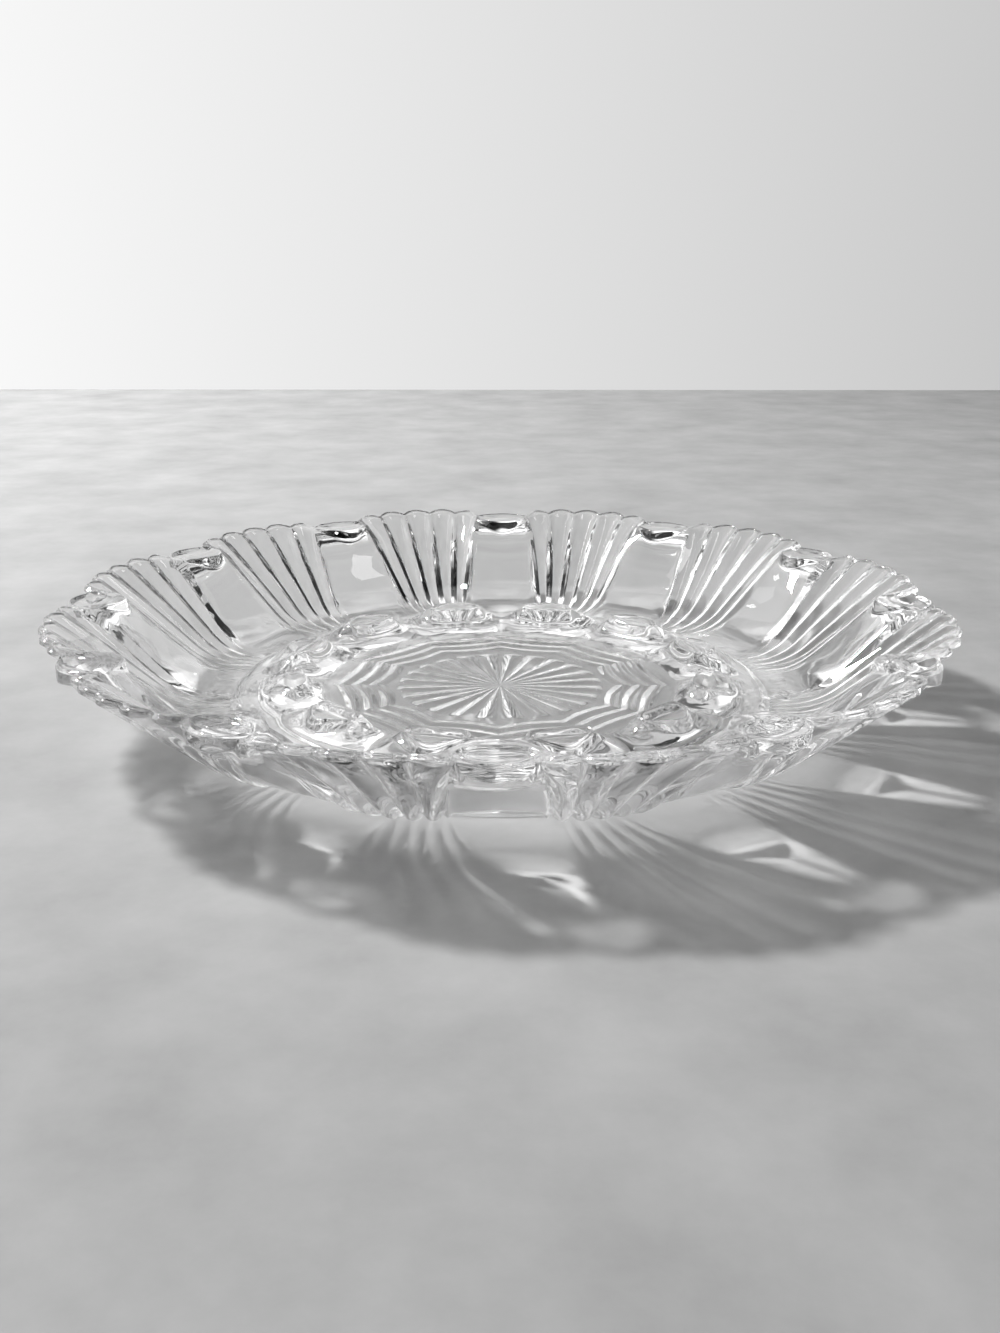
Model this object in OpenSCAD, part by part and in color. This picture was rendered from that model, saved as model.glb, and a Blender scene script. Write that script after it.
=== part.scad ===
// Round pressed-glass relish tray with a ring of fluted wells round a star medallion.
// Millimetres, +Z up, origin at the middle of the face that it stands on.
// The tray is one pressing. Each named region of it is a solid that meets its neighbours face to face.

/* [Tray] */
// Overall diameter, across the middles of two opposite wells
tray_d = 254; // [220:1:300]
// Overall height, from the table to the top of the rim
tray_h = 35; // [31:0.5:45]
// Number of wells round the tray
wells = 12; // [10:1:14]

/* [Rim] */
// Width of the lip along the top of the rim
lip_w = 2.4; // [1.5:0.1:4]
// Height of the outer edge of the lip
lip_edge = 2.2; // [1:0.1:4]
// How far the outline draws in from the middle of a well to its ends
rim_draw = 3.2; // [1:0.1:6]
// Flutes fanned across each well
flutes = 5; // [3:1:7]
// Depth of the creases between the flutes at the rim
crease_depth = 1.9; // [0.4:0.1:2.4]
// Width of the fan of flutes at the inner end of a well, as a share of its angle at the rim
fan_pinch = 0.33; // [0.3:0.01:0.8]

/* [Wells] */
// Radius of the lowest line of the well floors
floor_r = 84; // [80:0.5:86]
// Height of the well floors above the table
floor_z = 8.3; // [7:0.1:10]

/* [Rim bosses] */
// Distance of the middles of the rim bosses from the outline of the tray
boss_inset = 9.8; // [9:0.1:12]
// Length of a rim boss along the rim
boss_len = 16.3; // [12:0.1:20]
// Width of a rim boss across the rim
boss_w = 15.6; // [12:0.1:16]
// Height of a rim boss above its seat
boss_h = 4; // [3:0.1:6]
// How far the tops of the rim bosses lie below the rim
boss_below = 2.3; // [0:0.1:3]
// Length of the hollow in a rim boss
boss_dip_len = 12.9; // [8:0.1:14]
// Width of the hollow in a rim boss
boss_dip_w = 10.9; // [6:0.1:12]
// Depth of the hollow in a rim boss
boss_dip = 1.8; // [0.5:0.1:2.5]
// Clearance between a rim boss and the ends of the lip beside it
boss_gap = 0.5; // [0.3:0.1:2]

/* [Collar] */
// Outer radius of the collar between the wells and the centre
collar_r = 66.5; // [65:0.5:70]
// Width of the collar, from the wells to the centre floor
collar_w = 14.5; // [13:0.1:18]
// Height of the flat top of the collar above the table
collar_z = 10.4; // [9.5:0.1:12]
// Width of the flat top of the collar
collar_flat = 10.5; // [10:0.1:12]
// Length of an inner lens along the collar
lens_len = 20.5; // [16:0.1:24]
// Width of an inner lens across the collar
lens_w = 9.6; // [6:0.1:9.8]
// Height of an inner lens above the collar
lens_h = 5.1; // [3:0.1:6]
// Length of the hollow in an inner lens
lens_dip_len = 14.7; // [10:0.1:18]
// Width of the hollow in an inner lens
lens_dip_w = 6.6; // [3:0.1:7.5]
// Depth of the hollow in an inner lens
lens_dip = 1.5; // [0.3:0.1:1.8]

/* [Centre] */
// Plain margin between the outermost band and the edge of the centre floor
centre_edge = 2.5; // [1:0.1:5]
// Height of the top of the centre floor above the table
centre_z = 8.5; // [7:0.1:10]
// Height of the underside of the centre floor above the table
under_z = 3; // [2.5:0.1:5]
// Rays of the star under the centre floor
star_rays = 24; // [12:2:36]
// Depth of the star's cuts
star_depth = 1.5; // [0.4:0.1:2]
// Cusped bands round the star
bands = 3; // [1:1:3]
// Distance from one band to the next
band_step = 5.2; // [4:0.1:5.8]
// How far the sides of a band bow in between its cusps
band_bow = 2.6; // [0.5:0.1:3]
// Depth of the grooves between the bands
band_depth = 1.2; // [0.4:0.1:2]

/* [Foot] */
// Height of the foot ring
foot_h = 1.5; // [1:0.1:2.5]
// Width of the foot ring
foot_w = 10.5; // [8:0.1:12]

/* [Hidden] */
glass = [0.87, 0.90, 0.91, 0.6];
// Clearance between a faceted edge and the round face that it meets
facet_gap = 0.06;
pitch = 360 / wells;
half = pitch / 2;
rim_r = tray_d / 2;
// Ring that the rim bosses stand on, and the top and seat of the bosses
boss_r = rim_r - boss_inset;
boss_top = tray_h - boss_below;
boss_seat = boss_top - boss_h;
// Outer edge of the shelf under a boss, inside the outline of the boss
shelf_r = boss_r + boss_w / 4;
// Angle where the fan of flutes ends beside a boss, and the angle of the step down to its shelf
fan = half - asin((boss_len / 2 + boss_gap) / boss_r);
step = asin(boss_gap * 0.8 / boss_r);
well_r = collar_r + facet_gap;
foot_r = collar_r + foot_w;
lens_r = collar_r - collar_flat / 2;
centre_r = collar_r - collar_w;
// Radius of the star, inside its bands
star_r = centre_r - centre_edge - bands * band_step - band_bow - band_step / 4;
// Slopes of the curves, as rise over run
collar_slope = -0.25;
floor_slope = 0.02;
ridge_slope = [1, 1.2, 0.2];
foot_slope = 0.15;
bend_slope = 0.45;
recess_slope = [0.3, 0.62, 1, 0.1];
// Depth of the recess in the outside under each ridge, below the boss's seat
recess_below = 1.2;
// Power of the curve across a flute, and how much deeper a crease gets half way up the wall
flute_round = 2;
crease_swell = 5;
// Share of a well's half width that the ridges beside it don't lift
level_share = 0.45;
// Share of a recess's half width that its sloping sides take up
recess_side = 0.4;
// Facets along each line from the collar to the rim, and across a flute
top_steps = 12;
outside_steps = 9;
flute_steps = 4;
// Lines of the medallion between two rays of the star
ray_steps = 2;
$fn = 96;

function mix(a, b, x) = a + (b - a) * x;
function ease(x) = x <= 0 ? 0 : x >= 1 ? 1 : x * x * (3 - 2 * x);
// Height at x on the smooth curve between knots p and q, each [x, height, slope]
function span(p, q, x) =
    let (w = q[0] - p[0], u = (x - p[0]) / w)
    p[1] * (1 + 2 * u) * (1 - u) * (1 - u) + q[1] * u * u * (3 - 2 * u)
    + w * (p[2] * u * (1 - u) * (1 - u) + q[2] * u * u * (u - 1));
// Height at x on the smooth curve through a list of knots
function curve(knots, x, i = 0) =
    i == len(knots) - 2 || x < knots[i + 1][0] ? span(knots[i], knots[i + 1], x) : curve(knots, x, i + 1);

// A line across a well is named by a, its angle from the middle of the well at the rim.
function in_fan(a) = abs(a) <= fan + 0.001;
// Position within a flute, from -1 at one crease to 1 at the next
function flute_pos(a) =
    let (f = (a / fan + 1) / 2 * flutes)
    in_fan(a) ? 2 * (f - min(floor(f), flutes - 1)) - 1 : 1;
// Share of the crease depth at a line: 0 along the middle of a flute, 1 at a crease
function crease(a) = pow(abs(flute_pos(a)), flute_round);
// Angle of a line at a share t of the way from the collar to the rim
function bend(a, t) =
    let (w = mix(fan_pinch, 1, t))
    in_fan(a) ? a * w : sign(a) * (half - (half - abs(a)) / (half - fan) * (half - fan * w));
// Radius of the edge of a well at a line, without and with the creases
function well_edge(a) = rim_r - rim_draw * pow(min(abs(a) / fan, 1), 2);
function outline(a) = in_fan(a) ? well_edge(a) - crease_depth * crease(a) : shelf_r;
// Radius on the middle of a well that r stands for on a line whose edge lies further in
function drawn_in(r, edge) =
    r < foot_r ? r : min(foot_r + (r - foot_r) * (rim_r - foot_r) / (edge - foot_r), rim_r);
// Point at shares u and v of the way between two points
function between(p, q, u, v) = [mix(p[0], q[0], u), mix(p[1], q[1], v)];
function rise(p, q) = (q[1] - p[1]) / (q[0] - p[0]);
// Curve from knot p that bends into a straight slope from point q to point e
function into_straight(p, q, e) = [p, concat(q, rise(q, e)), concat(e, rise(q, e))];

floor_end = [rim_r - lip_w, tray_h];
floor_low = [floor_r, floor_z, floor_slope];
wall_start = between(floor_low, floor_end, 0.32, 0.17);
collar_knot = [well_r, collar_z, collar_slope];
floor_knots = concat([collar_knot], into_straight(floor_low, wall_start, floor_end));
ridge_end = [rim_r - rim_draw - lip_w, tray_h];
ridge_top = [boss_r - boss_w / 2 - boss_gap, boss_seat + boss_gap / 2];
ridge_knots = [
    collar_knot,
    floor_low,
    concat(between(floor_low, ridge_top, 0.53, 0.45), ridge_slope[0]),
    concat(ridge_top, ridge_slope[1]),
    concat(ridge_end, ridge_slope[2])
];
foot_edge = [foot_r, foot_h];
lip_under = [rim_r, tray_h - lip_edge];
bend_knot = concat(between(foot_edge, lip_under, 0.34, 0.13), bend_slope);
outside_start = between(foot_edge, lip_under, 0.48, 0.29);
outside_knots = concat([concat(foot_edge, foot_slope)], into_straight(bend_knot, outside_start, lip_under));
shelf_edge = [shelf_r, boss_seat - recess_below];
recess_knots = [
    concat(foot_edge, recess_slope[0]),
    concat(between(foot_edge, shelf_edge, 0.5, 0.345), recess_slope[1]),
    concat(between(foot_edge, shelf_edge, 0.8, 0.89), recess_slope[2]),
    concat(shelf_edge, recess_slope[3])
];

// Share of the ridge in the inside of a well at a line
function ridge_share(a) =
    ease((abs(a) / half - level_share) / (1 - level_share));
// Share of the recess in the outside at a line
function recess_share(a) = ease((abs(a) - fan) / (half - fan) / recess_side);
// Height of the inside at radius r on a line
function inside_z(r, a) =
    let (
        drawn = drawn_in(r, well_edge(a)),
        low = drawn > floor_end[0] ? tray_h : curve(floor_knots, drawn),
        high = r > ridge_end[0] ? tray_h : curve(ridge_knots, r),
        z = min(mix(low, high, ridge_share(a)), tray_h)
    )
    in_fan(a) ? z : min(z, boss_seat);
// Height of the outside at radius r on a line, at a share t of the way from the foot to the rim
function outside_z(r, a, t) =
    let (
        low = curve(outside_knots, drawn_in(r, outline(a))),
        high = curve(recess_knots, min(r, shelf_r)),
        z = mix(low, high, recess_share(a))
    )
    in_fan(a) ? z + crease_swell * crease(a) * t * (1 - t) : min(z, high + lip_edge);
function at(r, a, t, z) = [r * cos(bend(a, t)), r * sin(bend(a, t)), z];
function along(r) = (r - well_r) / (rim_r - well_r);

// Closed section along one line: out over the inside and the lip, then back under the outside
function well_section(a) =
    let (edge = outline(a), lip = edge - lip_w)
    concat(
        [for (i = [0:top_steps])
            let (r = mix(well_r, lip, i / top_steps))
            at(r, a, along(r), i == top_steps && in_fan(a) ? tray_h : inside_z(r, a))],
        [at(edge, a, 1, in_fan(a) ? tray_h : boss_seat)],
        [for (i = [outside_steps:-1:0])
            let (t = i / outside_steps, r = mix(foot_r, edge, t))
            at(r, a, along(r), outside_z(r, a, t))],
        [at(well_r, a, 0, foot_h)]
    );

// Lines across a well, closer together over the flutes
fan_lines = [for (i = [0:flutes * flute_steps]) fan * (2 * i / (flutes * flute_steps) - 1)];
side_lines = [fan + step, mix(fan + step, half, 0.5), half];
well_lines = concat([for (i = [2:-1:0]) -side_lines[i]], fan_lines, side_lines);

// Faces of a solid swept through a row of closed sections of n points each
function sweep_faces(rows, n) = concat(
    [[for (i = [n - 1:-1:0]) i]],
    [for (row = [0:rows - 2], i = [0:n - 1], half_quad = [0, 1])
        let (p = row * n + i, q = row * n + (i + 1) % n)
        half_quad == 0 ? [p, q, q + n] : [p, q + n, p + n]],
    [[for (i = [0:n - 1]) (rows - 1) * n + i]]
);

// One well: fluted floor, outer wall and lip, cut along the ridges on both sides
module well() {
    sections = [for (a = well_lines) well_section(a)];
    points = [for (s = sections) each s];
    polyhedron(points, sweep_faces(len(sections), len(sections[0])));
}

// Upright prism with a pointed oval outline, long side along Y
module pointed_oval(length, width, height) {
    radius = (length * length + width * width) / (4 * width);
    shift = radius - width / 2;
    intersection() {
        translate([shift, 0, 0]) cylinder(r = radius, h = height);
        translate([-shift, 0, 0]) cylinder(r = radius, h = height);
    }
}

// Hollow with a pointed oval edge at the height of the origin and a dished floor that runs out at its tips
module pointed_hollow(length, width, depth) {
    radius = (length * length / 4 + depth * depth) / (2 * depth);
    intersection() {
        translate([0, 0, -2 * depth]) pointed_oval(length, width, 3 * depth);
        translate([0, 0, radius - depth]) sphere(r = radius);
    }
}

// Pointed oval boss with a hollow in its top
module lens(length, width, height, dip_length, dip_width, dip) {
    difference() {
        pointed_oval(length, width, height);
        translate([0, 0, height]) pointed_hollow(dip_length, dip_width, dip);
    }
}

module rim_boss() {
    translate([boss_r, 0, boss_seat])
        lens(boss_len, boss_w, boss_h, boss_dip_len, boss_dip_w, boss_dip);
}

module inner_lens() {
    translate([lens_r, 0, collar_z])
        lens(lens_len, lens_w, lens_h, lens_dip_len, lens_dip_w, lens_dip);
}

// Ring that carries the inner lenses, with a slope down to the centre floor
module inner_collar() {
    color(glass) rotate_extrude() polygon([
        [centre_r, under_z],
        [collar_r, under_z],
        [collar_r, collar_z],
        [collar_r - collar_flat, collar_z],
        [centre_r, centre_z]
    ]);
}

// Flat ring that the tray stands on, under the inner ends of the wells
module foot_ring() {
    color(glass) rotate_extrude() translate([collar_r, 0]) square([foot_w, foot_h]);
}

medallion_lines = star_rays * ray_steps * 2;
// Radius of a band's edge at angle g: a cusp over each ridge, with sides that bow in between
function cusp_r(r, g) =
    let (x = abs(((g % pitch) / pitch) * 2 - 1))
    r - band_bow * (1 - x) * (1 + x);
first_band = star_r + band_bow + band_step / 4;
// Rings of the medallion from the middle outwards, each [radius, bowed, depth in the ray, depth between]
medallion_rings = concat(
    [[star_r / 8, false, 0, 0], [star_r / 3, false, star_depth, 0], [star_r * 0.9, false, star_depth, 0]],
    [[star_r, false, 0, 0]],
    [for (b = [0:bands - 1], k = [0, 1])
        [first_band + (b + k / 2) * band_step, true, k * band_depth, k * band_depth]],
    [[first_band + bands * band_step, true, 0, 0]]
);
function medallion_point(ring, k) =
    let (
        g = k * 360 / medallion_lines,
        r = ring[1] ? cusp_r(ring[0], g) : ring[0],
        ray = abs((k % (2 * ray_steps)) / ray_steps - 1)
    )
    [r * cos(g), r * sin(g), under_z + mix(ring[3], ring[2], ray)];

// Centre floor, flat on top, with the star and its bands pressed into the underside
module centre_medallion() {
    n = medallion_lines;
    rows = len(medallion_rings);
    rim = centre_r - facet_gap;
    under = [for (ring = medallion_rings, k = [0:n - 1]) medallion_point(ring, k)];
    edge = [for (z = [under_z, centre_z], k = [0:n - 1])
        [rim * cos(k * 360 / n), rim * sin(k * 360 / n), z]];
    faces = concat(
        [[for (k = [0:n - 1]) k]],
        [for (row = [0:rows], k = [0:n - 1], half_quad = [0, 1])
            let (p = row * n + k, q = row * n + (k + 1) % n)
            half_quad == 0 ? [p, p + n, q + n] : [p, q + n, q]],
        [[for (k = [n - 1:-1:0]) (rows + 1) * n + k]]
    );
    color(glass) rotate([0, 0, -90]) polyhedron(concat(under, edge), faces);
}

// Turn of copy i: wells lie between the ridges, and the front is at -Y
function well_turn(i) = (i - 0.5) * pitch - 90;
function ridge_turn(i) = (i - 1) * pitch - 90;
function copy_name(name, i) = str(name, i < 10 ? "_0" : "_", i);
copies = [1:wells];

module well_copy(i) {
    color(glass) rotate([0, 0, well_turn(i)]) well();
}

module inner_lens_copy(i) {
    color(glass) rotate([0, 0, well_turn(i)]) inner_lens();
}

module rim_boss_copy(i) {
    color(glass) rotate([0, 0, ridge_turn(i)]) rim_boss();
}

centre_medallion();
inner_collar();
foot_ring();
for (i = copies) well_copy(i);
for (i = copies) inner_lens_copy(i);
for (i = copies) rim_boss_copy(i);
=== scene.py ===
"""Clear pressed-glass relish tray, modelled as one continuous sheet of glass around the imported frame."""
import math

import bpy
import numpy as np
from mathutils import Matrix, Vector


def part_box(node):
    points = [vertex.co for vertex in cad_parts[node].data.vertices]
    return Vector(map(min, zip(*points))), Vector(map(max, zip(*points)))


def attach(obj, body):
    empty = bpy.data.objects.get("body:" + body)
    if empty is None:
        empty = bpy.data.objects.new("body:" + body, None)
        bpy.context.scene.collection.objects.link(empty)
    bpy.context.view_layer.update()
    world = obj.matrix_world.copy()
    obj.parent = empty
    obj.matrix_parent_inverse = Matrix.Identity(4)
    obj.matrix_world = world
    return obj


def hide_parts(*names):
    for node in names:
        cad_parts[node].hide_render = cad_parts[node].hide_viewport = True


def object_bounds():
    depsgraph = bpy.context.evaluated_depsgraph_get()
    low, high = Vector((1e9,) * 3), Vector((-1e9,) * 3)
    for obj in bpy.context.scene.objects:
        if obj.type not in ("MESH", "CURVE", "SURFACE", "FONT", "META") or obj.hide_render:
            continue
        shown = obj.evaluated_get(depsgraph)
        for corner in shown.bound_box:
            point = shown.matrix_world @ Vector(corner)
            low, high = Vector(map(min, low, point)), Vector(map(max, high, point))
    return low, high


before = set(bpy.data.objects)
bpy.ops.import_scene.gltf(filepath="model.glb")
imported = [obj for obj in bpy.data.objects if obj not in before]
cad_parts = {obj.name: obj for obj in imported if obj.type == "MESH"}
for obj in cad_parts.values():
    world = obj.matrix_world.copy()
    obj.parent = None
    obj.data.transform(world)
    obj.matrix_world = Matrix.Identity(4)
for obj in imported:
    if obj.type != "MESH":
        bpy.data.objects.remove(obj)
cad_low, cad_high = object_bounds()

MM = 0.001


# Sizes that come from the frame, in millimetres
def node_top(name):
    return np.array(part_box(name)[1]) / MM


def node_bottom(name):
    return np.array(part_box(name)[0]) / MM


def widest(name):
    """Largest distance of a node's points from the upright axis."""
    mesh = bpy.data.objects[name].data
    return max(math.hypot(v.co.x, v.co.y) for v in mesh.vertices) / MM


WELLS = sum(name.startswith("well_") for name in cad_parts)
PITCH = 360 / WELLS
HALF = PITCH / 2
RIM_R = widest("well_01")
TRAY_H = cad_high[2] / MM
CENTRE_R = node_top("centre_medallion")[0]
CENTRE_Z = node_top("centre_medallion")[2]
UNDER_Z = node_bottom("centre_medallion")[2]
COLLAR_R = node_top("inner_collar")[0]
FOOT_R = node_top("foot_ring")[0]
FOOT_H = node_top("foot_ring")[2]

# Lip
LIP_W = 2.4
LIP_EDGE = 2.2
LIP_ROUND = 0.9
LIP_NOTCH = 0.8
LIP_STEP = 0.9
LIP_CROWN = 0.6
LIP_SAG = 1.3
SHOULDER_W = 0.5
# Lean of the shoulder inside the lip and inside a boss, and its least drop, as shares of LIP_ROUND
LIP_LEAN = 0.8
BOSS_LEAN = 0.15
SHOULDER_DROP = 0.25
# Rounding of the outer edge, across and down
EDGE_ROUND = 0.7
EDGE_DROP = 0.8

# Flutes, and the plain panels between the fans of flutes
RIM_DRAW = 3.2
FLUTES = 5
CREASE_DEPTH = 2.2
CREASE_SWELL = 6.0
FLUTE_ROUND = 2.0
FAN_PINCH = 0.33
PANEL_HALF = 6.6
# Radii between which the side of a ridge goes over from true angle to mesh line
RIDGE_FROM = 68.0
RIDGE_TO = 84.0

# Rim bosses, and the niche under each of them
BOSS_R = 118.2
BOSS_IN = 108.6
BOSS_OUT = 125.0
BOSS_HALF = 8.2
BOSS_BELL = 12.0
BOSS_RISE = 1.5
BOSS_IN_Z = TRAY_H - 1.7
BOSS_OUT_Z = TRAY_H - 2.2
BOSS_FOOT_Z = 29.0
BOSS_TIP_Z = 32.0
BOSS_EYE_R = 119.2
BOSS_DIP_LEN = 12.9
BOSS_DIP_W = 10.0
BOSS_DIP = 1.9
SHELF_R = 120.4
SHELF_Z = 27.8
RECESS_SIDE = 0.55
RECESS_STEEP = 2.6

# Collar and its lenses
DISH_R = 50.0
LENS_R = 62.0
KNOB_Z = 13.2
LENS_LEN = 24.5
LENS_W = 14.0
LENS_H = 2.2
LENS_DIP_LEN = 16.5
LENS_DIP_W = 10.3
LENS_DIP = 1.7
# Shape of the hollows in knobs and bosses, from 1 for two flat sides to 2 for a bowl
HOLLOW = 1.5
# Rounded rim round each hollow
BEAD_H = 0.3
BEAD_W = 0.9
# Least half widths of knob and hollows, which keep the mesh rows apart beyond their tips
LENS_TIP = 0.35
LENS_DIP_TIP = 0.2
BOSS_DIP_TIP = 0.3

# Foot ring
FOOT_INSET = 1.2
FOOT_ROUND = 0.5

# Star and bands under the centre
STAR_RAYS = 24
STAR_R = 30.0
STAR_DEPTH = 1.3
STAR_ROUND = 1.7
RAY_END = 1.5
BANDS = 3
BAND_STEP = 5.2
BAND_BOW = 2.6
BAND_DEPTH = 1.0
BAND_MARGIN = 0.5

# Mesh lines across a flute and across each side of a ridge
FLUTE_LINES = 12
SIDE_LINES = 13
# Mesh rows on each stretch, from the middle of the dish over the rim to the middle of the underside
DISH_ROWS = 10
WELL_ROWS = 52
SHOULDER_ROWS = 7
EDGE_ROWS = 5
OUTSIDE_ROWS = 54
FOOT_ROWS = 3
UNDER_ROWS = 6
MARGIN_ROWS = 4
BAND_ROWS = 16
GAP_ROWS = 5
STAR_ROWS = 36
# Radius of the first and the last row
POLE_R = 1.0
# Places of rows between a hollow's middle and edge, and between the edges of knob and hollow, as shares
IN_HOLLOW = 0.75
ON_FLANK = 0.6
# Angle above which an edge stays crisp, in degrees
SHARP = 80
# Allowance for rounding when angles are compared
NEAR = 1e-6

# Photograph's camera: place in metres, pitch in degrees and focal length in pixels of the 1000 x 1333 frame
PHOTO_H = 1333
FOCAL_PX = 1319.6
CAMERA_BACK = 0.3685
CAMERA_Z = 0.1337
CAMERA_PITCH = 18.16
CAMERA_TURN = 0.347
SENSOR = 36.0

# Glass, with faint clouds of the melt and the slight waviness of a pressed surface
GLASS = {"Roughness": 0.0, "IOR": 1.52, "Transmission Weight": 1.0}
CLOUD = {"Scale": 45, "Detail": 3}
WAVE = {"Strength": 0.35, "Distance": 0.0006}
# Tint by the clouds, a range that takes its first two numbers to its last two, like all ranges below
CLOUD_TINT = (0, 1, 0.965, 1.0)
# Share of straight light that passes, by the upright part of the normal and by metres from the middle
PASS_BY_SLOPE = (0.68, 0.98, 0.3, 1.0)
PASS_BY_PLACE = (0.048, 0.062, 0.42, 0.92)

# Floor and wall, with ranges for the floor's tone by its blotches and for the wall's painted glow by x,
# brighter on the left as if lit from that side
MATTE = 0.9
MOTTLE = {"Scale": 22, "Detail": 9, "Roughness": 0.62}
FLOOR_TONE = (0.3, 0.7, 0.33, 0.44)
WALL_LEVEL = 0.8
WALL_PAINTED_GLOW = (-0.6, 0.6, 1.0, 0.52)
FLOOR = -0.0001
FLOOR_HALF = 1.4
WALL_Y = 0.84
WALL_HALF = 1.2
WALL_H = 0.5

# Strength of the world: on the floor, to the camera, and in the glass on the room's dark and light sides
WORLD = 0.04
PALE = 0.8
ROOM_DARK = 0.03
ROOM_LIGHT = 1.25
# Where a direction's y and x take the room from dark to light
ROOM_SIDES = {"Y": (0.0, 0.2), "X": (0.2, 0.0)}

# Lamps: place and size in metres, power in watts
KEY = ((-0.95, 0.5, 1.2), 0.18, 34)
WINDOW = ((-1.4, 0.1, 0.6), 1.0, 6)
OVERHEAD = ((0.9, -0.5, 1.5), 0.5, 4)
AIM = (0, 0, 0)

# Bounces of light, enough for several walls of glass in a row
BOUNCES = 24
GLOSSY_BOUNCES = 12


def mix(a, b, x):
    return a + (b - a) * x


def ease(x):
    x = np.clip(x, 0, 1)
    return x * x * (3 - 2 * x)


def bezier(p, q, s, t):
    return p * (1 - t) ** 2 + 2 * q * t * (1 - t) + s * t * t


def span(p, q, x):
    """Height at x on the smooth curve between knots p and q, each (x, height, slope)."""
    w = q[0] - p[0]
    u = (x - p[0]) / w
    ends = p[1] * (1 + 2 * u) * (1 - u) ** 2 + q[1] * u * u * (3 - 2 * u)
    return ends + w * (p[2] * u * (1 - u) ** 2 + q[2] * u * u * (u - 1))


def curve(knots, x):
    """Height at x on the smooth curve through a list of knots."""
    z = span(knots[0], knots[1], x)
    for p, q in zip(knots[1:], knots[2:]):
        z = np.where(x >= p[0], span(p, q, x), z)
    return z


def pointed(length, width, x):
    """Half width at x of a pointed oval made of two arcs."""
    radius = (length * length + width * width) / (4 * width)
    inside = np.clip(radius * radius - x * x, 0, None)
    return np.clip(np.sqrt(inside) - radius + width / 2, 0, None)


def swell(x):
    """Smooth hump that is 1 at 0 and falls to 0 at 1."""
    return 0.5 + 0.5 * np.cos(np.pi * np.clip(x, 0, 1))


def bead(off):
    """Height of the rounded rim at a distance from the edge of a hollow."""
    return BEAD_H * swell(np.abs(off) / BEAD_W)


# Lines across one well, named by their angle from its middle at the rim
FAN = HALF - math.degrees(math.asin(PANEL_HALF / BOSS_R))
fan_lines = np.linspace(-FAN, FAN, FLUTES * FLUTE_LINES + 1)
side_lines = np.linspace(FAN, HALF, SIDE_LINES + 1)[1:]
lines = np.concatenate([-side_lines[::-1], fan_lines, side_lines[:-1]])
even_lines = -HALF + PITCH * np.arange(len(lines)) / len(lines)
in_fan = np.abs(lines) <= FAN + NEAR
across_fan = np.clip(np.abs(lines) / FAN, 0, 1)
across_half = np.abs(lines) / HALF
# Depth of the crease at each line: 0 on the middle of a flute, 1 between two flutes and on the panels
along = (lines / FAN + 1) / 2 * FLUTES
flute = 2 * (along - np.clip(np.floor(along), 0, FLUTES - 1)) - 1
crease = np.where(in_fan, np.abs(flute) ** FLUTE_ROUND, 1)
# Distance from the middle of the nearest boss, and the swell of the boss's inner and outer edges
from_boss = BOSS_R * np.sin(np.radians(HALF - np.abs(lines)))
bell = swell(from_boss / BOSS_BELL)
arc = np.clip(1 - (from_boss / BOSS_HALF) ** 2, 0, 1)
recess = ease((np.abs(lines) - FAN) / (HALF - FAN) * RECESS_STEEP)


def fan_width(r):
    """Width of the fan at radius r, as a share of its angle at the rim."""
    return mix(FAN_PINCH, 1, np.clip((r - COLLAR_R) / (RIM_R - COLLAR_R), 0, 1))


def line_angle(r):
    """Angle of each line at radius r: even over the medallion, fanned over the wells."""
    w = fan_width(r)
    side = np.sign(lines) * (HALF - (HALF - np.abs(lines)) / (HALF - FAN) * (HALF - FAN * w))
    fanned = np.where(in_fan, lines * w, side)
    return mix(even_lines, fanned, ease((r - CENTRE_R) / (COLLAR_R - CENTRE_R)))


# Inside and outside along the middle of a well and along a panel, each knot a radius, a height and a slope
well_knots = [
    (DISH_R, CENTRE_Z, 0),
    (57, 12.2, 0.75),
    (LENS_R, KNOB_Z, 0),
    (67, 12.0, -0.55),
    (74, 9.2, -0.15),
    (84, 8.3, 0.02),
    (90, 9.3, 0.35),
    (97, 12.9, 0.8),
    (112, 25.1, 0.82),
    (RIM_R - LIP_W, TRAY_H, 0.78),
]
panel_knots = [
    (DISH_R, CENTRE_Z, 0),
    (57, 9.6, 0.2),
    (LENS_R, 10.2, 0),
    (67, 9.9, -0.12),
    (74, 9.2, -0.05),
    (84, 9.2, 0.1),
    (91, 12.2, 0.75),
    (97, 17.6, 1.0),
    (103, 23.8, 1.1),
    (BOSS_IN, 30.0, 1.2),
    (BOSS_OUT, TRAY_H + 2, 0.2),
]
outside_knots = [
    (FOOT_R, FOOT_H, 0.15),
    (94, 5.6, 0.45),
    (101, 10.6, 0.85),
    (RIM_R, TRAY_H - LIP_EDGE, 0.85),
]
recess_knots = [
    (FOOT_R, FOOT_H, 0.1),
    (90, 6.1, 0.38),
    (99, 10.3, 0.62),
    (106, 17.2, 1.3),
    (112.5, 24.8, 1.0),
    (SHELF_R, SHELF_Z, 0.1),
]
# Section of the foot ring and the step up to the underside, each point a radius and a height
foot_section = [
    (FOOT_R, FOOT_H),
    (FOOT_R - FOOT_ROUND, FOOT_ROUND),
    (FOOT_R - FOOT_INSET, 0),
    (COLLAR_R + FOOT_INSET, 0),
    (COLLAR_R + 0.3, FOOT_ROUND),
    (COLLAR_R - 0.4, UNDER_Z - FOOT_ROUND),
    (COLLAR_R - FOOT_INSET, UNDER_Z),
]

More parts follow.
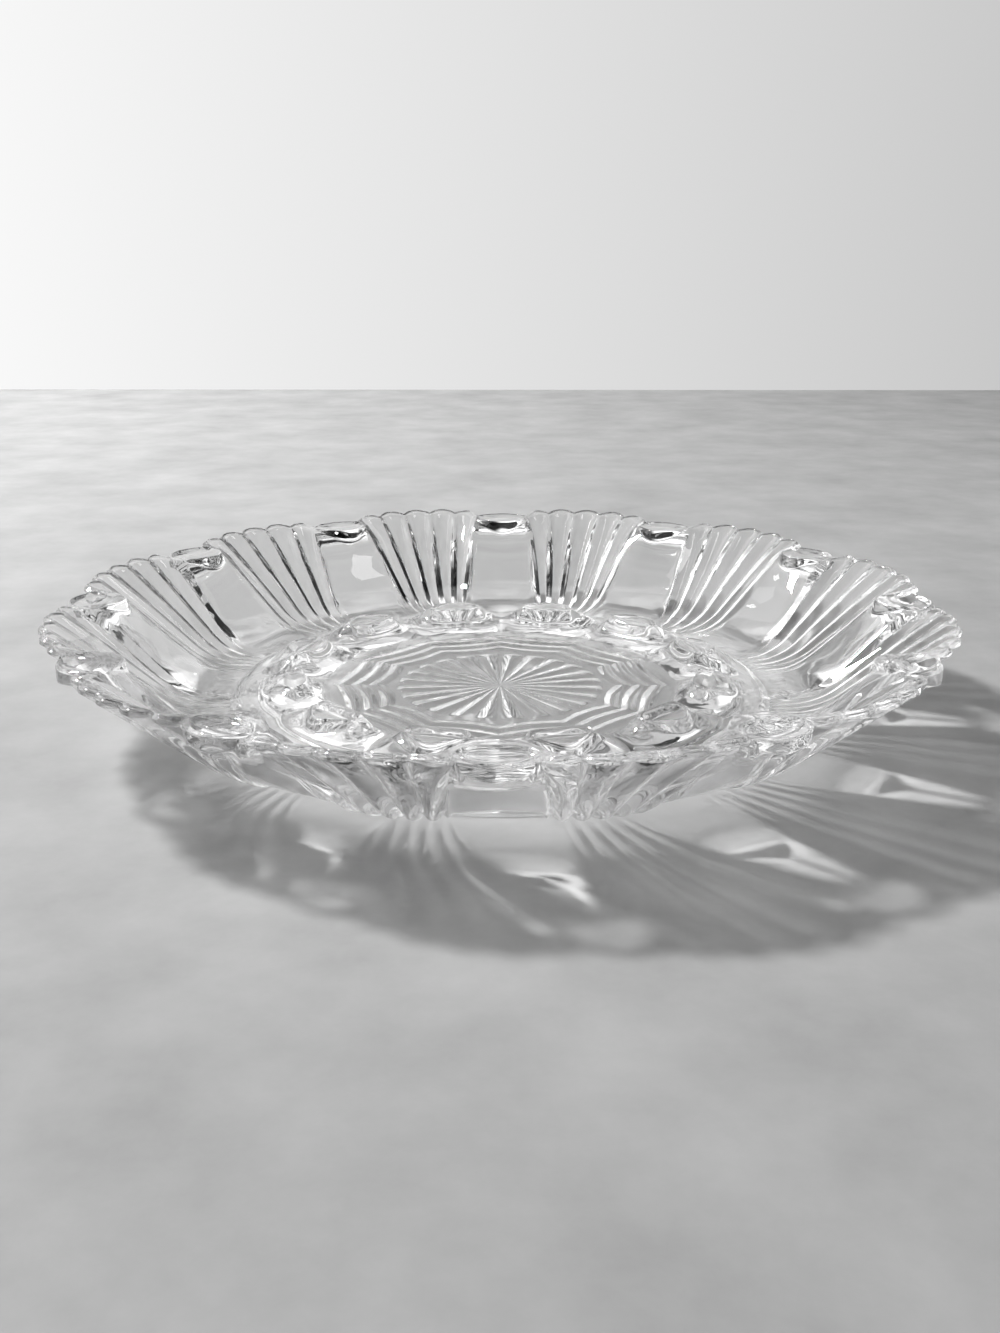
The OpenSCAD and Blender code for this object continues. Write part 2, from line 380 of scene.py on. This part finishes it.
# Edges of the rim on each line, and their heights
well_edge = RIM_R - RIM_DRAW * across_fan ** 2
lobe_edge = well_edge - CREASE_DEPTH * crease
boss_edge = mix(RIM_R - RIM_DRAW - CREASE_DEPTH, BOSS_OUT, arc)
edge_out = np.maximum(lobe_edge, boss_edge)
edge_in = mix(edge_out - LIP_W, BOSS_IN, bell)
lip_z = TRAY_H - LIP_CROWN - LIP_NOTCH * crease * (1 - bell) - LIP_SAG * across_fan ** 4
edge_in_z = mix(lip_z, BOSS_IN_Z, bell)
edge_out_z = mix(lip_z, BOSS_OUT_Z, ease(arc * BOSS_RISE))
outside_r = mix(edge_out - LIP_STEP, SHELF_R, recess)

# Half widths of the lens knob and its hollow on each line, and how far the line is inside them
lens_x = LENS_R * np.sin(np.radians(line_angle(np.full_like(lines, LENS_R))))
lens_half = np.hypot(pointed(LENS_LEN, LENS_W, lens_x), LENS_TIP)
lens_dip_half = np.hypot(pointed(LENS_DIP_LEN, LENS_DIP_W, lens_x), LENS_DIP_TIP)
lens_on = np.clip(1 - (2 * lens_x / LENS_LEN) ** 2, 0, 1)
dip_on = np.clip(1 - (2 * lens_x / LENS_DIP_LEN) ** 2, 0, 1)


def ridge_share(r):
    """Share of the panel in the height at radius r: by true angle at the knobs, by line over the wells."""
    near = np.abs(line_angle(r)) / HALF
    by_line = ease((r - RIDGE_FROM) / (RIDGE_TO - RIDGE_FROM))
    return ease(2 * mix(near, across_half, by_line) - 1)


def drawn_in(r, edge):
    """Radius on the middle of a well that r stands for on a line whose edge lies further in."""
    share = (RIM_R - FOOT_R) / (edge - FOOT_R)
    return np.where(r > FOOT_R, np.minimum(FOOT_R + (r - FOOT_R) * share, RIM_R), r)


def inside_z(r):
    """Height of the inside at radius r, without the lens knobs."""
    return mix(curve(well_knots, drawn_in(r, well_edge)), curve(panel_knots, r), ridge_share(r))


def collar_z(r):
    """Inside with the lens knob raised on it and the hollow pressed into the knob."""
    off = np.abs(r - LENS_R)
    knob = LENS_H * np.clip((lens_half - off) / (lens_half - lens_dip_half), 0, 1) * lens_on
    dip = LENS_DIP * np.clip(1 - (off / lens_dip_half) ** HOLLOW, 0, 1) * np.sqrt(dip_on)
    return inside_z(r) + knob - dip + bead(off - lens_dip_half) * dip_on ** 0.25


def outside_z(r, t):
    """Height of the outside at radius r, which lies t of the way from the foot to the rim."""
    low = curve(outside_knots, drawn_in(r, lobe_edge))
    low = low + np.where(in_fan, CREASE_SWELL * crease * t * (1 - t), 0)
    high = curve(recess_knots, np.minimum(r, SHELF_R))
    beside = np.radians(np.abs(line_angle(r)) - FAN * fan_width(r)) * r
    return np.where(in_fan, low, np.minimum(high, low + RECESS_SIDE * beside))


rows = []


def add_row(r, z):
    """Adds one row of points; r and z hold a value per line or one for all."""
    rows.append((np.broadcast_to(r, lines.shape) * 1.0, np.broadcast_to(z, lines.shape) * 1.0))


def steps(count):
    """Even shares up to 1, without the 0 that the row before already holds."""
    return np.linspace(0, 1, count + 1)[1:]


def add_straight(count, start, end):
    """Adds rows on the straight way between two places, each a radius and a height."""
    for t in steps(count):
        add_row(mix(start[0], end[0], t), mix(start[1], end[1], t))


def add_bend(count, r, z):
    """Adds rows on a bend, its radius and its height given at the start, at the corner and at the end."""
    for t in steps(count):
        add_row(bezier(*r, t), bezier(*z, t))


def radii(marks):
    """Radius of each row between marks, which hold a radius and the number of rows up to it."""
    for (start, _), (end, count) in zip(marks, marks[1:]):
        for t in steps(count):
            yield mix(start, end, t)


def centre_top():
    add_row(POLE_R, CENTRE_Z)
    add_straight(DISH_ROWS, (POLE_R, CENTRE_Z), (DISH_R, CENTRE_Z))


def collar():
    flank = mix(lens_half, lens_dip_half, ON_FLANK)
    hollow = lens_dip_half * IN_HOLLOW
    marks = [
        (np.full_like(lines, DISH_R), 0),
        (LENS_R - lens_half, 12),
        (LENS_R - flank, 4),
        (LENS_R - lens_dip_half, 3),
        (LENS_R - hollow, 4),
        (LENS_R + hollow, 8),
        (LENS_R + lens_dip_half, 4),
        (LENS_R + flank, 3),
        (LENS_R + lens_half, 4),
    ]
    for r in radii(marks):
        add_row(r, collar_z(r))


def wells_inside():
    start = LENS_R + lens_half
    end = edge_in - LIP_ROUND
    for t in steps(WELL_ROWS):
        r = mix(start, end, t)
        add_row(r, np.minimum(collar_z(r), edge_in_z - SHOULDER_DROP * LIP_ROUND))


def rim():
    """Shoulder, top of the lip with the hollows of the bosses, rounded edge and outer wall."""
    start_r = edge_in - LIP_ROUND
    start_z = rows[-1][1]
    lean = mix(LIP_LEAN, BOSS_LEAN, bell) * LIP_ROUND
    top_r = edge_in + SHOULDER_W
    add_bend(SHOULDER_ROWS, (start_r, start_r + lean, top_r), (start_z, edge_in_z, edge_in_z))
    middle = mix((edge_in + edge_out) / 2, BOSS_EYE_R, ease(bell * 2))
    dip_half = np.hypot(pointed(BOSS_DIP_LEN, BOSS_DIP_W, from_boss), BOSS_DIP_TIP)
    dip_depth = BOSS_DIP * np.sqrt(np.clip(1 - (2 * from_boss / BOSS_DIP_LEN) ** 2, 0, 1))
    hollow = dip_half * IN_HOLLOW
    last_r = edge_out - EDGE_ROUND
    marks = [
        (top_r, 0),
        (middle - dip_half, 3),
        (middle - hollow, 4),
        (middle + hollow, 8),
        (middle + dip_half, 4),
        (last_r, 3),
    ]
    for r in radii(marks):
        u = (r - top_r) / (last_r - top_r)
        land = mix(edge_in_z, edge_out_z, u) + LIP_CROWN * 4 * u * (1 - u) * (1 - bell)
        dip = dip_depth * np.clip(1 - np.abs((r - middle) / dip_half) ** HOLLOW, 0, 1)
        rounded = bead(np.abs(r - middle) - dip_half) * (dip_depth > 0)
        add_row(r, land - dip + rounded)
    drop_z = edge_out_z - EDGE_DROP
    wall_z = np.where(in_fan, TRAY_H - LIP_EDGE, mix(BOSS_TIP_Z, BOSS_FOOT_Z, arc))
    add_bend(EDGE_ROWS, (last_r, edge_out, edge_out), (edge_out_z, edge_out_z, drop_z))
    add_straight(EDGE_ROWS, (edge_out, drop_z), (edge_out, wall_z))


def outside():
    """Underside of the lip and the bosses, then the fluted outside with the niches down to the foot."""
    add_straight(EDGE_ROWS, rows[-1], (outside_r, outside_z(outside_r, 1)))
    for t in steps(OUTSIDE_ROWS):
        r = mix(outside_r, FOOT_R, t)
        add_row(r, outside_z(r, 1 - t))


def foot():
    """Rounded ring that the tray stands on, with the step up to the underside behind it."""
    for start, end in zip(foot_section, foot_section[1:]):
        add_straight(FOOT_ROWS, start, end)


def medallion():
    """Underside of the centre, with cusped bands round a star of wedge-shaped cuts."""
    bow = BAND_BOW * (1 - (even_lines / HALF) ** 2)
    first = STAR_R + BAND_BOW + BAND_STEP / 4
    last = first + BANDS * BAND_STEP
    margin = (CENTRE_R + BAND_MARGIN, UNDER_Z)
    add_straight(UNDER_ROWS, foot_section[-1], margin)
    add_straight(MARGIN_ROWS, margin, (last - bow, UNDER_Z))
    for t in steps(BANDS * BAND_ROWS):
        wave = 0.5 - 0.5 * np.cos(2 * np.pi * BANDS * t)
        add_row(mix(last, first, t) - bow, UNDER_Z + BAND_DEPTH * wave)
    add_straight(GAP_ROWS, (first - bow, UNDER_Z), (STAR_R, UNDER_Z))
    ray = np.abs((even_lines / (360 / STAR_RAYS) + 0.5) % 1 * 2 - 1)
    for t in steps(STAR_ROWS):
        r = mix(STAR_R, POLE_R, t)
        end = ease((STAR_R - r) / RAY_END)
        add_row(r, UNDER_Z + STAR_DEPTH * end * (r / STAR_R) * ray ** STAR_ROUND)


def ring_points():
    """Points of every row all the way round, row after row, in metres."""
    r = np.array([row[0] for row in rows])
    z = np.array([row[1] for row in rows])
    angle = np.array([line_angle(row) for row in r])
    turns = HALF + PITCH * np.arange(WELLS)
    angle = np.radians(np.concatenate([angle + turn for turn in turns], axis=1))
    r = np.tile(r, WELLS)
    z = np.tile(z, WELLS)
    return np.stack([r * np.sin(angle), -r * np.cos(angle), z], axis=-1) * MM


def tray_mesh():
    """Closed mesh of all rows, with a cap on the first and on the last."""
    for part in (centre_top, collar, wells_inside, rim, outside, foot, medallion):
        part()
    points = ring_points()
    count, around = points.shape[:2]
    poles = np.array([[0, 0, CENTRE_Z * MM], [0, 0, UNDER_Z * MM]])
    verts = np.concatenate([points.reshape(-1, 3), poles])
    here = np.arange(around)
    beside = np.roll(here, -1)
    row = np.arange(count - 1)[:, None] * around
    quads = np.stack([row + here, row + around + here, row + around + beside, row + beside], axis=-1)
    pairs = list(zip(here.tolist(), beside.tolist()))
    base = (count - 1) * around
    top_pole = count * around
    under_pole = top_pole + 1
    cap_top = [(top_pole, a, b) for a, b in pairs]
    cap_under = [(base + a, under_pole, base + b) for a, b in pairs]
    mesh = bpy.data.meshes.new("tray_glass")
    mesh.from_pydata(verts.tolist(), [], quads.reshape(-1, 4).tolist() + cap_top + cap_under)
    mesh.shade_smooth()
    mesh.set_sharp_from_angle(angle=math.radians(SHARP))
    return mesh


def add_node(tree, kind, numbers=None, sources=None, operation=None):
    """New node with its operation chosen, its numbers set and its inputs linked to their sources."""
    node = tree.nodes.new(kind)
    if operation:
        node.operation = operation
    for name, number in (numbers or {}).items():
        node.inputs[name].default_value = number
    for name, source in (sources or {}).items():
        tree.links.new(source, node.inputs[name])
    return node


def map_range(tree, value, numbers):
    """Socket that takes the value from the range of the first two numbers to that of the last two."""
    names = ("From Min", "From Max", "To Min", "To Max")
    node = add_node(tree, "ShaderNodeMapRange", dict(zip(names, numbers)), {"Value": value})
    return node.outputs["Result"]


def maths(tree, operation, *values):
    """Socket with the result of an operation on one or two sockets."""
    node = add_node(tree, "ShaderNodeMath", sources=dict(enumerate(values)), operation=operation)
    return node.outputs["Value"]


def axis(tree, vector, name):
    """Socket with the X, Y or Z of a vector socket."""
    node = add_node(tree, "ShaderNodeSeparateXYZ", sources={"Vector": vector})
    return node.outputs[name]


def principled(name, numbers):
    """New material with the numbers of its shader set."""
    material = bpy.data.materials.new(name)
    material.use_nodes = True
    shader = material.node_tree.nodes["Principled BSDF"]
    for socket, number in numbers.items():
        shader.inputs[socket].default_value = number
    return material


def show_both(tree, factor, other):
    """Material shows its own shader where the factor is 0 and the other one where it is 1."""
    own = tree.nodes["Principled BSDF"].outputs["BSDF"]
    both = add_node(tree, "ShaderNodeMixShader", sources={"Fac": factor, 1: own, 2: other})
    tree.links.new(both.outputs["Shader"], tree.nodes["Material Output"].inputs["Surface"])


def seen_directly(tree):
    """Socket that is 1 for what the camera sees, by way of the glass too, and 0 for light on the floor."""
    path = add_node(tree, "ShaderNodeLightPath")
    by_glass = maths(tree, "MAXIMUM", path.outputs["Is Transmission Ray"], path.outputs["Is Glossy Ray"])
    return maths(tree, "MAXIMUM", path.outputs["Is Camera Ray"], by_glass)


def clear_glass():
    material = principled("clear_glass", GLASS)
    tree = material.node_tree
    shader = tree.nodes["Principled BSDF"]
    place = add_node(tree, "ShaderNodeNewGeometry")
    cloud = add_node(tree, "ShaderNodeTexNoise", CLOUD, {"Vector": place.outputs["Position"]})
    tree.links.new(map_range(tree, cloud.outputs["Fac"], CLOUD_TINT), shader.inputs["Base Color"])
    wave = add_node(tree, "ShaderNodeBump", WAVE, {"Height": cloud.outputs["Fac"]})
    tree.links.new(wave.outputs["Normal"], shader.inputs["Normal"])
    # Light that the caustics leave out passes through level glass and is turned away by steep glass
    level = maths(tree, "ABSOLUTE", axis(tree, place.outputs["Normal"], "Z"))
    by_slope = map_range(tree, level, PASS_BY_SLOPE)
    # Less of it passes the cut centre than the plain wells
    position = {0: place.outputs["Position"]}
    reach = add_node(tree, "ShaderNodeVectorMath", sources=position, operation="LENGTH")
    by_place = map_range(tree, reach.outputs["Value"], PASS_BY_PLACE)
    share = maths(tree, "MULTIPLY", by_slope, by_place)
    through = add_node(tree, "ShaderNodeBsdfTransparent", sources={"Color": share})
    path = add_node(tree, "ShaderNodeLightPath")
    show_both(tree, path.outputs["Is Shadow Ray"], through.outputs["BSDF"])
    return material


def floor_material():
    """Pale stone with soft blotches and a fine grain."""
    material = principled("pale_floor", {"Roughness": MATTE})
    tree = material.node_tree
    place = add_node(tree, "ShaderNodeNewGeometry")
    mottle = add_node(tree, "ShaderNodeTexNoise", MOTTLE, {"Vector": place.outputs["Position"]})
    tone = map_range(tree, mottle.outputs["Fac"], FLOOR_TONE)
    tree.links.new(tone, tree.nodes["Principled BSDF"].inputs["Base Color"])
    return material


def backdrop_material():
    """Pale wall with a painted glow, brighter on the left as if lit from that side, shown to the camera and
    in the glass.
    """
    colour = (WALL_LEVEL, WALL_LEVEL, WALL_LEVEL, 1)
    material = principled("pale_wall", {"Base Color": colour, "Roughness": MATTE})
    tree = material.node_tree
    place = add_node(tree, "ShaderNodeNewGeometry")
    # Painted glow: emission brighter on the left as if lit from there, seen by the camera and the glass but
    # lighting nothing
    ramp = map_range(tree, axis(tree, place.outputs["Position"], "X"), WALL_PAINTED_GLOW)
    painted_glow = add_node(tree, "ShaderNodeEmission", sources={"Strength": ramp})
    show_both(tree, seen_directly(tree), painted_glow.outputs["Emission"])
    return material


def studio_world():
    """Room that is pale to the camera; in the glass it is light at the back left and dark elsewhere."""
    world = bpy.data.worlds.new("studio")
    world.use_nodes = True
    tree = world.node_tree
    place = add_node(tree, "ShaderNodeTexCoord").outputs["Generated"]
    sides = []
    for name, ends in ROOM_SIDES.items():
        sides.append(map_range(tree, axis(tree, place, name), ends + (ROOM_DARK, ROOM_LIGHT)))
    in_glass = {"Factor": seen_directly(tree), "B": maths(tree, "MULTIPLY", *sides)}
    room = add_node(tree, "ShaderNodeMix", {"A": WORLD}, in_glass)
    path = add_node(tree, "ShaderNodeLightPath")
    to_camera = {"Factor": path.outputs["Is Camera Ray"], "A": room.outputs["Result"]}
    shown = add_node(tree, "ShaderNodeMix", {"B": PALE}, to_camera)
    background = tree.nodes["Background"]
    background.inputs["Color"].default_value = (1, 1, 1, 1)
    tree.links.new(shown.outputs["Result"], background.inputs["Strength"])
    return world


def plane(name, corners, material):
    mesh = bpy.data.meshes.new(name)
    mesh.from_pydata(corners, [], [(0, 1, 2, 3)])
    mesh.materials.append(material)
    obj = bpy.data.objects.new(name, mesh)
    bpy.context.collection.objects.link(obj)
    return obj


def area_light(name, place, size, power):
    data = bpy.data.lights.new(name, "AREA")
    data.size = size
    data.energy = power
    lamp = bpy.data.objects.new(name, data)
    lamp.location = place
    aim = Vector(AIM) - Vector(place)
    lamp.rotation_euler = aim.to_track_quat("-Z", "Y").to_euler()
    bpy.context.collection.objects.link(lamp)
    return lamp


# Camera at the photograph's viewing angle
camera_data = bpy.data.cameras.new("camera")
camera_data.sensor_width = SENSOR
camera_data.lens = FOCAL_PX / PHOTO_H * SENSOR
camera = bpy.data.objects.new("camera", camera_data)
turn = math.radians(CAMERA_TURN)
camera.location = (CAMERA_BACK * math.sin(turn), -CAMERA_BACK * math.cos(turn), CAMERA_Z)
camera.rotation_euler = (math.radians(90 - CAMERA_PITCH), 0, turn)
bpy.context.collection.objects.link(camera)
bpy.context.scene.camera = camera

# The tray
tray = bpy.data.objects.new("tray_glass", tray_mesh())
bpy.context.collection.objects.link(tray)
tray.data.materials.append(clear_glass())
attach(tray, "root")
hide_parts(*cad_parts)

# Stage and light
floor_corners = [
    (-FLOOR_HALF, -FLOOR_HALF, FLOOR),
    (FLOOR_HALF, -FLOOR_HALF, FLOOR),
    (FLOOR_HALF, WALL_Y, FLOOR),
    (-FLOOR_HALF, WALL_Y, FLOOR),
]
wall_corners = [
    (-WALL_HALF, WALL_Y, 0),
    (WALL_HALF, WALL_Y, 0),
    (WALL_HALF, WALL_Y, WALL_H),
    (-WALL_HALF, WALL_Y, WALL_H),
]
floor = plane("floor", floor_corners, floor_material())
plane("backdrop", wall_corners, backdrop_material())
key = area_light("key", *KEY)
area_light("window", *WINDOW)
area_light("overhead", *OVERHEAD)
key.data.cycles.is_caustics_light = True
tray.cycles.is_caustics_caster = True
floor.cycles.is_caustics_receiver = True

scene = bpy.context.scene
scene.world = studio_world()
scene.view_settings.view_transform = "Standard"
scene.cycles.max_bounces = BOUNCES
scene.cycles.transmission_bounces = BOUNCES
scene.cycles.glossy_bounces = GLOSSY_BOUNCES
